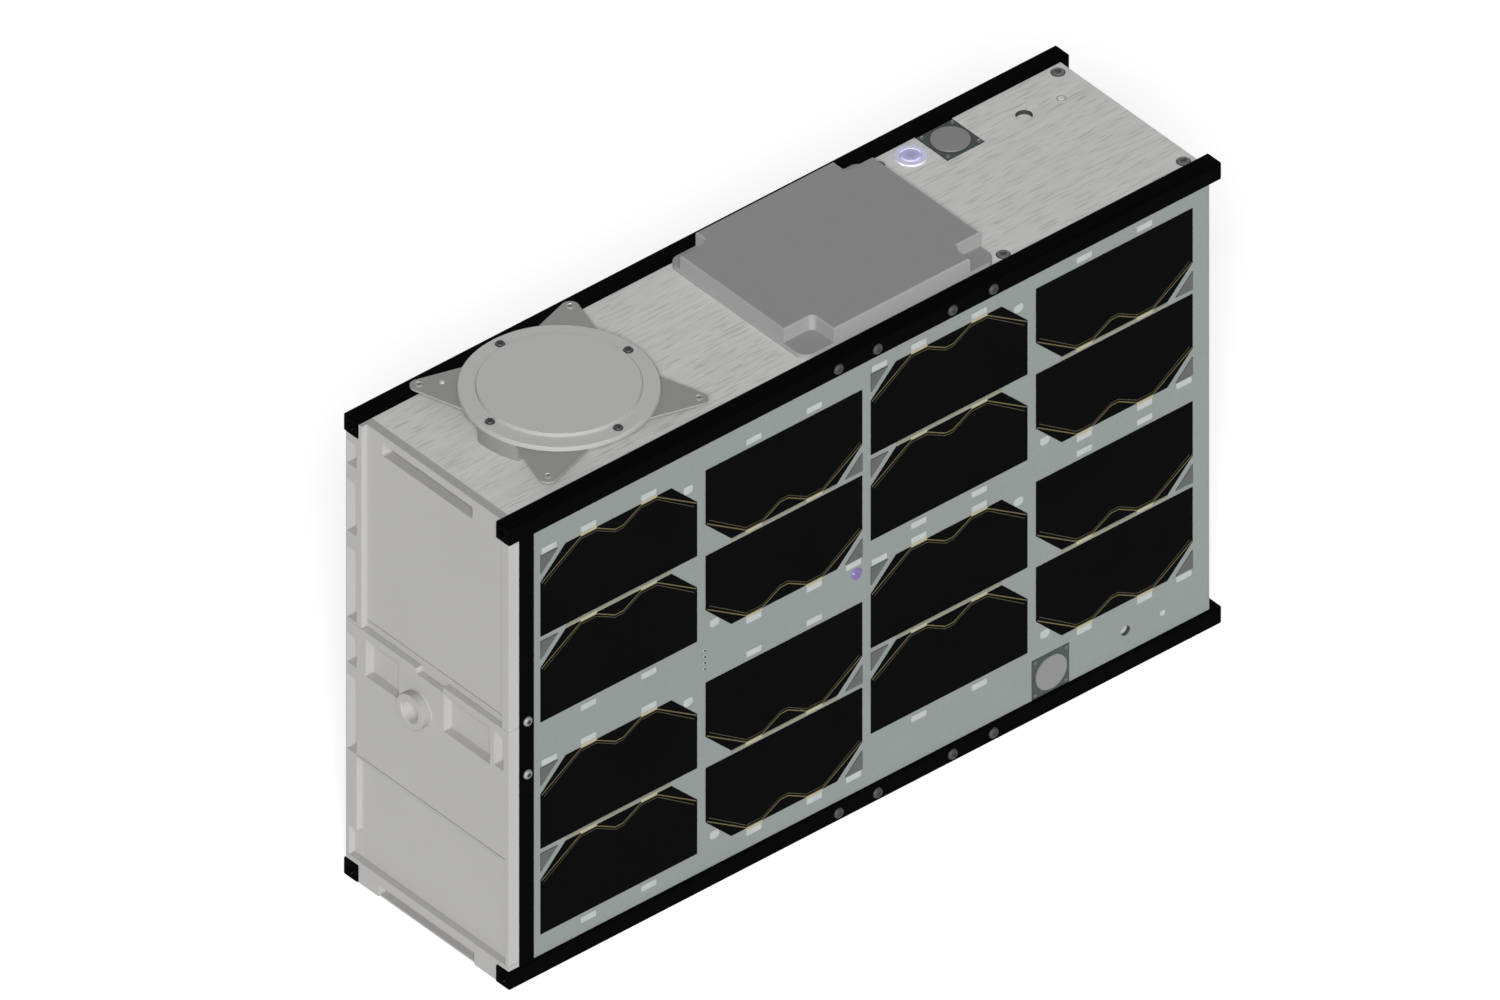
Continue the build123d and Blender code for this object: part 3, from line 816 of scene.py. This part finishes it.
def find_cells(side):
    """The cells of a side panel, from the separate solids of their node."""
    mesh = bmesh.new()
    mesh.from_mesh(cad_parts[f"solar_cells_{side}"].data)
    bmesh.ops.remove_doubles(mesh, verts=mesh.verts, dist=WELD)
    waiting = set(mesh.verts)
    cells = []
    while waiting:
        reached = [waiting.pop()]
        for vert in reached:
            for edge in vert.link_edges:
                other = edge.other_vert(vert)
                if other in waiting:
                    waiting.remove(other)
                    reached.append(other)
        cells.append(Cell([vert.co.copy() for vert in reached]))
    mesh.free()
    return sorted(cells, key=lambda cell: (cell.low_x, cell.low_z))


def strand_line(cell, drop):
    """Line of a strand on a cell, a little inside its cropped edge: from corner to corner by both tabs."""
    half_tab = bpy.context.scene.satellite_sizes.tab_long / 2
    edge = cell.tall - drop
    corner = cell.tall - CELL_CROP - drop
    middle = cell.long / 2
    dip = edge - STRAND_DIP
    first, second = TAB_PLACES
    return [
        (drop, corner), (first - half_tab, edge), (first + half_tab, edge),
        (middle - STRAND_DIP_LONG / 2, dip), (middle + STRAND_DIP_LONG / 2, dip),
        (second - half_tab, edge), (second + half_tab, edge), (cell.long - drop, corner),
    ]


class SATELLITE_OT_rails(bpy.types.Operator):
    """Anodise the rails and posts, and set their screws"""

    bl_idname = "satellite.rails"
    bl_label = "Rails and posts"

    def execute(self, context):
        sizes = context.scene.satellite_sizes
        colours = context.scene.satellite_colours
        rails = [f"rail_{side}_{level}" for side in SIDES for level in ("lower", "upper")]
        dress(anodised("black_anodised", colours.rail), *rails, *on_both("front_post"))
        grey = plated("rail_screw_grey", colours.rail_screw, metal=0.1, rough=0.6)
        steel = plated("steel", shade(colours.steel, 0.5), metal=0.4, rough=0.5)
        # The sockets of the rail and post screws get painted shade
        socket = plated("socket_painted_shade", colours.dark_screw_and_shade, metal=0.2, rough=0.6)
        for side in SIDES:
            post = f"front_post_{side}"
            low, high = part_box(post)
            half_rail = low.z / 2
            screws = Piece(f"rail_screws_{side}", grey, socket)
            for level in ("lower", "upper"):
                rail = f"rail_{side}_{level}"
                up = half_rail if level == "lower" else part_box(rail)[1].z - half_rail
                for x in RAIL_SCREWS:
                    place = at(side_place(rail, side), x, up)
                    screws.button_screw(place, sizes.rail_screw, RAIL_SCREW_HIGH)
            screws.done()
            screws = Piece(f"post_screws_{side}", steel, socket)
            x = (low.x + high.x) / 2 - FRONT
            for up in POST_SCREWS:
                place = at(side_place(post, side), x, up)
                screws.button_screw(place, sizes.post_screw, POST_SCREW_HIGH)
            screws.done()
        return {"FINISHED"}


class SATELLITE_OT_side_panels(bpy.types.Operator):
    """Finish the side panels, wire their cells, and set their pins and the painted shade on their holes'
    walls
    """

    bl_idname = "satellite.side_panels"
    bl_label = "Side panels"

    def execute(self, context):
        sizes = context.scene.satellite_sizes
        colours = context.scene.satellite_colours
        dress(solder_resist("circuit_board", colours.board), *on_both("side_panel"))
        dress(cell_glass("solar_cell", colours.cell), *on_both("solar_cells"))
        diode = plated("diode_silver", colours.diode, metal=0.4, rough=0.45)
        dress(diode, *on_both("bypass_diodes"))
        cream = plated("tab_cream", colours.cream, metal=0.3, rough=0.45)
        white = plated("pad_white", colours.pad, metal=0.0, rough=0.55)
        gold = plated("strand_gold", colours.gold, metal=0.5, rough=0.4)
        bronze = plated("strand_bronze", shade(colours.gold, 0.4), metal=0.5, rough=0.45)
        tan = plated("seam_tan", shade(colours.cream, 0.6), metal=0.2, rough=0.5)
        # Dark finish of the pins, also painted shade on the side holes' walls
        pin = plated("pin_and_hole_shade", colours.dark_screw_and_shade, metal=0.2, rough=0.6)
        for side in SIDES:
            self.wire(side, find_cells(side), sizes, cream, white, (gold, bronze, tan))
            self.mark(side, pin, white)
            # The side hole's wall takes the pins' dark finish as painted shade
            hole = Piece(f"side_hole_painted_shade_{side}", pin, white)
            place = at(side_place(f"side_panel_{side}", side), *SIDE_HOLE)
            hole.cup(place, sizes.side_hole / 2, SIDE_HOLE_DEEP)
            hole.done()
        return {"FINISHED"}

    def wire(self, side, cells, sizes, cream, white, metals):
        """Tabs, pads, corner spots, seams and strands of all cells of a side."""
        panel = side_place(f"side_panel_{side}", side)
        tabs = Piece(f"cell_tabs_{side}", cream)
        pads = Piece(f"cell_pads_{side}", white)
        strands = Piece(f"cell_strands_{side}", *metals)
        outer = 0 if side == "near" else 1
        face = abs(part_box(f"solar_cells_{side}")[outer].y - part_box(f"side_panel_{side}")[outer].y)
        tab = rounded(sizes.tab_long, sizes.tab_tall, TAB_ROUND)
        pad = rounded(sizes.pad_long, sizes.pad_tall, PAD_ROUND)
        spot = rounded(sizes.spot, sizes.spot * SPOT_TALL, sizes.spot * SPOT_ROUND)
        for cell in cells:
            own = cell.place(panel)
            cropped_free = not cell.is_paired(cells, cropped_edge=True)
            straight_free = not cell.is_paired(cells, cropped_edge=False)
            for x in TAB_PLACES:
                up = cell.tall + sizes.tab_tall / 2 - TAB_LAP
                tabs.plate(at(own, x, up), tab, face + TAB_HIGH, bevel=TAB_BEVEL)
                if cropped_free:
                    pads.plate(at(own, x, up + (sizes.tab_tall + sizes.pad_tall) / 2), pad, PAD_HIGH)
                if straight_free:
                    pads.plate(at(own, x, -sizes.pad_off), pad, PAD_HIGH)
            if cropped_free:
                pads.plate(at(own, CORNER_PAD[0], cell.tall + CORNER_PAD[1]), pad, PAD_HIGH)
                pads.plate(at(own, cell.long - SPOT_IN[0], cell.tall - SPOT_IN[1]), spot, PAD_HIGH)
            else:
                up = cell.tall + SEAM_OFF
                seam = band([(CELL_CROP, up), (cell.long - CELL_CROP, up)], sizes.seam)
                strands.plate(own, seam, PAD_HIGH, TAN)
            line = band(strand_line(cell, STRAND_DROP), sizes.strand)
            strands.plate(own, line, face + STRAND_HIGH, GOLD)
            faint = band(strand_line(cell, FAINT_DROP), sizes.strand * FAINT_WIDTH)
            strands.plate(own, faint, face + STRAND_HIGH, BRONZE)
        tabs.done()
        pads.done()
        strands.done()

    def mark(self, side, pin, white):
        """Pins of a small connector between two columns, and a test point near the back."""
        panel = side_place(f"side_panel_{side}", side)
        marks = Piece(f"board_pins_{side}", pin, white)
        for up in BOARD_PINS_UP:
            marks.lathe(at(panel, BOARD_PINS_ALONG, up), *BOARD_PIN_SHAPE)
        marks.lathe(at(panel, *BOARD_MARK), *BOARD_MARK_SHAPE)
        marks.done()


class SATELLITE_OT_skins(bpy.types.Operator):
    """Brush the top and bottom skins, and set their screws, the mark, and the painted shade on the hole's
    wall with its floor
    """

    bl_idname = "satellite.skins"
    bl_label = "Skins"

    def execute(self, context):
        sizes = context.scene.satellite_sizes
        colours = context.scene.satellite_colours
        dress(brushed("brushed_aluminium", colours.skin), "top_skin", "bottom_skin")
        steel = plated("skin_screw_steel", shade(colours.steel, 0.22), metal=0.3, rough=0.5)
        # The screws' sockets and the gaps round them get painted shade
        dark = plated("skin_screw_shade", colours.dark_screw_and_shade, metal=0.2, rough=0.6)
        top = top_place("top_skin")
        bottom = bottom_place("bottom_skin")
        length = CAD_BOX[1].x - CAD_BOX[0].x
        screws = Piece("top_skin_screws", steel, dark)
        for x, y in SKIN_SCREWS:
            screws.flush_screw(at(top, x, y), sizes.skin_screw, SKIN_SCREW_HIGH, SKIN_SCREW_GAP)
        screws.done()
        screws = Piece("bottom_skin_screws", steel, dark)
        for x, y in SKIN_SCREWS:
            for along in (x, length - x):
                place = at(bottom, along, y)
                screws.flush_screw(place, sizes.skin_screw, SKIN_SCREW_HIGH, SKIN_SCREW_GAP)
        screws.done()
        grey = plated("skin_mark_grey", shade(colours.skin, 0.6), metal=0.2, rough=0.6)
        pale = plated("skin_mark_pale", colours.skin, metal=0.2, rough=0.6)
        mark = Piece("top_skin_mark", grey, pale)
        mark.lathe(at(top, *SKIN_MARK), *SKIN_MARK_SHAPE)
        mark.done()
        # The top hole's wall gets painted shade; its floor is a lighter copy of the skin's colour, painted
        # light that makes up for the shade inside the hole
        hole_shade = plated("hole_painted_shade", shade(colours.dark_screw_and_shade, 0.4), metal=0.0, rough=0.7)
        floor = plated("hole_floor", shade(colours.skin, 1.1), metal=0.1, rough=0.6)
        hole = Piece("top_hole_painted_shade", hole_shade, floor)
        hole.cup(at(top, *TOP_HOLE), sizes.top_hole / 2, TOP_HOLE_DEEP)
        hole.done()
        return {"FINISHED"}


class SATELLITE_OT_sensors(bpy.types.Operator):
    """Finish the sun sensors and lenses, and set the sensors' pins"""

    bl_idname = "satellite.sensors"
    bl_label = "Sensors and lenses"

    def execute(self, context):
        colours = context.scene.satellite_colours
        boards = on_both("side_sensor_board")
        discs = on_both("side_sensor_disc")
        dress(solder_resist("sensor_board", colours.sensor_board), *boards, "top_sensor_board")
        for disc in (*discs, "top_sensor_disc"):
            dress(self.satin(disc, colours.sensor_disc), disc)
        for lens in on_both("side_lens"):
            dress(self.coated(lens, colours.violet), lens)
        dress(self.coated("top_lens", colours.lavender), "top_lens")
        dress(plated("pale_ring", colours.lens_ring, metal=0.0, rough=0.5), "top_lens_ring")
        pin = plated("sensor_pin", shade(colours.steel, 0.17), metal=0.1, rough=0.6)
        for side in SIDES:
            board = f"side_sensor_board_{side}"
            low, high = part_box(board)
            along = (low.x - FRONT, high.x - FRONT)
            self.set_pins(board, side_place(board, side), along, (low.z, high.z), pin)
        board = "top_sensor_board"
        low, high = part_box(board)
        along = (low.x - FRONT, high.x - FRONT)
        self.set_pins(board, top_place(board), along, (low.y - NEAR, high.y - NEAR), pin)
        return {"FINISHED"}

    def satin(self, node, colour):
        low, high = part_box(node)
        return turned(f"satin_{node}", colour, (low + high) / 2, metal=0.4)

    def coated(self, node, colour):
        low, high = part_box(node)
        return lens_glass(f"coated_{node}", colour, (low + high) / 2, (high.x - low.x) / 2)

    def set_pins(self, board, place, along, across, finish):
        """Round pins in the corners of a sensor board, whose limits along and across are given."""
        pins = Piece(f"{board}_pins", finish)
        for x in (along[0] + SENSOR_PIN_IN, along[1] - SENSOR_PIN_IN):
            for y in (across[0] + SENSOR_PIN_IN, across[1] - SENSOR_PIN_IN):
                pins.lathe(at(place, x, y), *SENSOR_PIN_SHAPE)
        pins.done()


class SATELLITE_OT_instrument(bpy.types.Operator):
    """Finish the round instrument, and set its screws and pin"""

    bl_idname = "satellite.instrument"
    bl_label = "Round instrument"

    def execute(self, context):
        sizes = context.scene.satellite_sizes
        colours = context.scene.satellite_colours
        low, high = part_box("instrument_flange")
        middle = (low + high) / 2
        dress(blasted("dark_machined", colours.ears, metal=0.08, rough=0.6), "instrument_body")
        dress(blasted("stand_dark", colours.stand, metal=0.08, rough=0.6), "instrument_stand")
        for node in ("instrument_flange", "instrument_disc"):
            low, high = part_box(node)
            # The band outside this rim gets painted shade
            rim = (high.x - low.x) / 2 - FLANGE_SHADE_BAND
            dress(turned(f"turned_{node}", colours.flange, middle, rim=rim), node)
        dark = plated("flange_screw_dark", colours.dark_screw_and_shade, metal=0.3, rough=0.5)
        # The flange screws' sockets get painted shade; the heads themselves are dark
        black = plated("flange_socket_shade", shade(colours.dark_screw_and_shade, 0.3), metal=0.0, rough=0.7)
        flange = at(top_place("instrument_flange"), middle.x - FRONT, middle.y - NEAR)
        screws = Piece("flange_screws", dark, black)
        reach = FLANGE_SCREW_REACH
        for x, y in ((reach, 0), (-reach, 0), (0, reach), (0, -reach)):
            screws.flush_screw(at(flange, x, y), sizes.flange_screw, FLANGE_SCREW_HIGH, FLANGE_SCREW_GAP)
        screws.done()
        grey = plated("ear_screw_grey", shade(colours.ears, 0.85), metal=0.3, rough=0.5)
        # The ear screws' sockets are a darker copy of the ears' grey, painted shade
        deep = plated("ear_socket_shade", shade(colours.ears, 0.5), metal=0.3, rough=0.5)
        screws = Piece("ear_screws", grey, deep)
        ears = axes((middle.x, middle.y, self.ear_top()), (1, 0, 0), (0, 1, 0), (0, 0, 1))
        for x in (-EAR_SCREW_REACH, EAR_SCREW_REACH):
            for y in (-EAR_SCREW_REACH, EAR_SCREW_REACH):
                screws.button_screw(at(ears, x, y), sizes.ear_screw, EAR_SCREW_HIGH)
        screws.done()
        pin = Piece("ear_pin", plated("ear_pin_pale", colours.steel, metal=0.3, rough=0.5))
        pin.lathe(at(ears, *EAR_PIN), *EAR_PIN_SHAPE)
        pin.done()
        return {"FINISHED"}

    def ear_top(self):
        """Height of the ears' upper faces: the highest points of the body outside the flange's edge."""
        low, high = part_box("instrument_flange")
        radius = (high.x - low.x) / 2
        middle = (low + high) / 2
        points = [vert.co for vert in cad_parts["instrument_body"].data.vertices]
        return max(point.z for point in points if (point - middle).xy.length > radius)


class SATELLITE_OT_housing(bpy.types.Operator):
    """Finish the raised housing"""

    bl_idname = "satellite.housing"
    bl_label = "Raised housing"

    def execute(self, context):
        colour = context.scene.satellite_colours.housing
        grey = blasted("housing_grey", colour, metal=0.08, rough=0.62, spread=0.04)
        dress(grey, "housing_base", "housing_body")
        return {"FINISHED"}


class SATELLITE_OT_ends(bpy.types.Operator):
    """Finish the end module, the back plate and the inner stack, and set the port's ring and the screws"""

    bl_idname = "satellite.ends"
    bl_label = "End module and back plate"

    def execute(self, context):
        sizes = context.scene.satellite_sizes
        colours = context.scene.satellite_colours
        pieces = ("end_upper_cover", "end_middle_plate", "end_lower_cover", "end_bottom_beam")
        end_grey = blasted("end_grey", colours.end, metal=0.05, rough=0.65, spread=0.035, gloss=0.02)
        dress(end_grey, *pieces, "back_end_plate")
        dress(blasted("stack_black", colours.stack, metal=0.0, rough=0.7), "inner_stack")
        # The ring's outer wall takes a darker copy of the end's grey: painted shade that darkens its top
        # and tones down its lamp-lit side; the rim and the bore keep the end's grey
        shaded_end_grey = shade(colours.end, 0.78)
        outer_wall_shade = blasted("port_ring_shade", shaded_end_grey, metal=0.0, rough=0.7, spread=0.035, gloss=0.0)
        ring = Piece("port_ring", outer_wall_shade, end_grey)
        outer = sizes.port_ring / 2
        inner = sizes.port_ring_hole / 2
        throat = sizes.port_throat / 2
        proud = sizes.port_ring_proud
        ring.lathe(
            at(front_place("end_middle_plate"), *PORT_MIDDLE),
            (throat, -PLUG_DEEP, 0, 0), (PLUG_RADIUS, -PLUG_DEEP, 0, 0), (PLUG_RADIUS, 0.0, 0, 0),
            (outer, 0.0, 0, 0), (outer, proud - RING_EDGE, 0, 0), (outer - RING_EDGE, proud, 0, 0),
            (inner + RING_EDGE, proud, 0, 1), (inner, proud - RING_EDGE, 0, 1),
            (inner, proud - BORE_DEEP, 0, 1), (throat, proud - BORE_DEEP, 0, 1), hollow=True)
        ring.done()
        steel = plated("back_screw_steel", shade(colours.steel, 0.4), metal=0.5, rough=0.45)
        # The screws' sockets and the gaps round them get painted shade
        dark = plated("back_screw_shade", colours.dark_screw_and_shade, metal=0.2, rough=0.6)
        width = CAD_BOX[1].y - CAD_BOX[0].y
        screws = Piece("back_plate_screws", steel, dark)
        low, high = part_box("back_end_plate")
        for share in BACK_SCREWS_UP:
            up = low.z + share * (high.z - low.z)
            for y in (BACK_SCREW_IN, width - BACK_SCREW_IN):
                place = at(back_place("back_end_plate"), y, up)
                screws.flush_screw(place, sizes.skin_screw, SKIN_SCREW_HIGH, BACK_SCREW_GAP)
        screws.done()
        return {"FINISHED"}


class SATELLITE_OT_stage(bpy.types.Operator):
    """Set up the floor, the lamps, the world and the camera"""

    bl_idname = "satellite.stage"
    bl_label = "Stage"

    def execute(self, context):
        scene = context.scene
        stage = scene.satellite_stage
        scene.view_settings.view_transform = "Standard"
        self.make_world(scene, stage)
        self.make_floor(scene, stage)
        self.make_lamp(scene, "head_lamp", stage.head, self.view_axes(stage)[2], stage.lamp_softness)
        for name, strength, towards in (
                ("side_lamp", stage.side, SIDE_LAMP), ("fill_lamp", stage.fill, FILL_LAMP)):
            self.make_lamp(scene, name, strength, Vector(towards), stage.lamp_softness, shadow=False)
        self.make_camera(scene, stage)
        return {"FINISHED"}

    def seen(self, finish):
        """1 for what the camera sees, also by reflection or through glass, and 0 for light on surfaces."""
        camera = finish.node("ShaderNodeLightPath", output="Is Camera Ray")
        mirrored = finish.node("ShaderNodeLightPath", output="Is Glossy Ray")
        through = finish.node("ShaderNodeLightPath", output="Is Transmission Ray")
        return camera.or_else(mirrored).or_else(through)

    def make_world(self, scene, stage):
        world = bpy.data.worlds.new("studio")
        scene.world = world
        finish = Finish(world)
        light = finish.tree.nodes["Background"]
        light.inputs["Color"].default_value = (1, 1, 1, 1)
        strength = stage.ambient + self.seen(finish) * (1 - stage.ambient)
        finish.feed(light.inputs["Strength"], strength)

    def make_floor(self, scene, stage):
        half = stage.floor_side / 2
        data = bpy.data.meshes.new("floor")
        corners = [(-half, -half, 0), (half, -half, 0), (half, half, 0), (-half, half, 0)]
        data.from_pydata(corners, [], [(0, 1, 2, 3)])
        floor = bpy.data.objects.new("floor", data)
        scene.collection.objects.link(floor)
        floor.location.z = CAD_BOX[0].z - FLOOR_GAP
        finish = new_finish("floor_white")
        finish.surface(
            colour=stage.floor_colour,
            rough=0.9,
            gloss=0.0,
            glow=finish.blend(self.seen(finish), (0, 0, 0), (1, 1, 1)),
            glow_strength=stage.floor_lift)
        data.materials.append(finish.owner)

    def make_lamp(self, scene, name, strength, towards, softness, shadow=True):
        """Soft sun whose light comes from that direction."""
        data = bpy.data.lights.new(name, "SUN")
        data.energy = strength
        data.angle = softness
        data.use_shadow = shadow
        lamp = bpy.data.objects.new(name, data)
        lamp.rotation_mode = "QUATERNION"
        lamp.rotation_quaternion = towards.to_track_quat("Z", "Y")
        scene.collection.objects.link(lamp)

    def view_axes(self, stage):
        """The picture's right, up and back directions."""
        turn = stage.azimuth
        rise = stage.elevation
        back = Vector((math.sin(turn) * math.cos(rise), -math.cos(turn) * math.cos(rise), math.sin(rise)))
        right = Vector((math.cos(turn), math.sin(turn), 0))
        return right, back.cross(right), back

    def make_camera(self, scene, stage):
        """Parallel view at the picture's angle, scale and place."""
        right, up, back = self.view_axes(stage)
        across = (PICTURE[0] / 2 - ORIGIN_PIXEL[0]) / PIXELS_PER_METRE
        above = (ORIGIN_PIXEL[1] - PICTURE[1] / 2) / PIXELS_PER_METRE
        data = bpy.data.cameras.new("camera")
        data.type = "ORTHO"
        data.ortho_scale = PICTURE[0] / PIXELS_PER_METRE
        camera = bpy.data.objects.new("camera", data)
        camera.location = right * across + up * above + back * CAMERA_AWAY
        camera.rotation_mode = "QUATERNION"
        camera.rotation_quaternion = back.to_track_quat("Z", "Y")
        scene.collection.objects.link(camera)
        scene.camera = camera


class SATELLITE_PT_sidebar(bpy.types.Panel):
    """Buttons and settings of the satellite"""

    bl_idname = "SATELLITE_PT_sidebar"
    bl_label = "Box satellite"
    bl_space_type = "VIEW_3D"
    bl_region_type = "UI"
    bl_category = "Satellite"

    def draw(self, context):
        for operator in OPERATORS:
            self.layout.operator(operator.bl_idname)
        for name in GROUPS:
            group = getattr(context.scene, name)
            box = self.layout.box()
            for key in group.bl_rna.properties.keys():
                if key not in ("rna_type", "name"):
                    box.prop(group, key)


GROUPS = {
    "satellite_sizes": SATELLITE_PG_sizes,
    "satellite_colours": SATELLITE_PG_colours,
    "satellite_stage": SATELLITE_PG_stage,
}
OPERATORS = (
    SATELLITE_OT_rails, SATELLITE_OT_side_panels, SATELLITE_OT_skins, SATELLITE_OT_sensors,
    SATELLITE_OT_instrument, SATELLITE_OT_housing, SATELLITE_OT_ends, SATELLITE_OT_stage,
)


def register():
    for name, group in GROUPS.items():
        bpy.utils.register_class(group)
        setattr(bpy.types.Scene, name, PointerProperty(type=group))
    for operator in OPERATORS:
        bpy.utils.register_class(operator)
    bpy.utils.register_class(SATELLITE_PT_sidebar)


def unregister():
    bpy.utils.unregister_class(SATELLITE_PT_sidebar)
    for operator in reversed(OPERATORS):
        bpy.utils.unregister_class(operator)
    for name, group in GROUPS.items():
        delattr(bpy.types.Scene, name)
        bpy.utils.unregister_class(group)


def main():
    """Builds the finished satellite and its stage."""
    register()
    bpy.ops.satellite.rails()
    bpy.ops.satellite.side_panels()
    bpy.ops.satellite.skins()
    bpy.ops.satellite.sensors()
    bpy.ops.satellite.instrument()
    bpy.ops.satellite.housing()
    bpy.ops.satellite.ends()
    bpy.ops.satellite.stage()


if __name__ == "__main__":
    main()
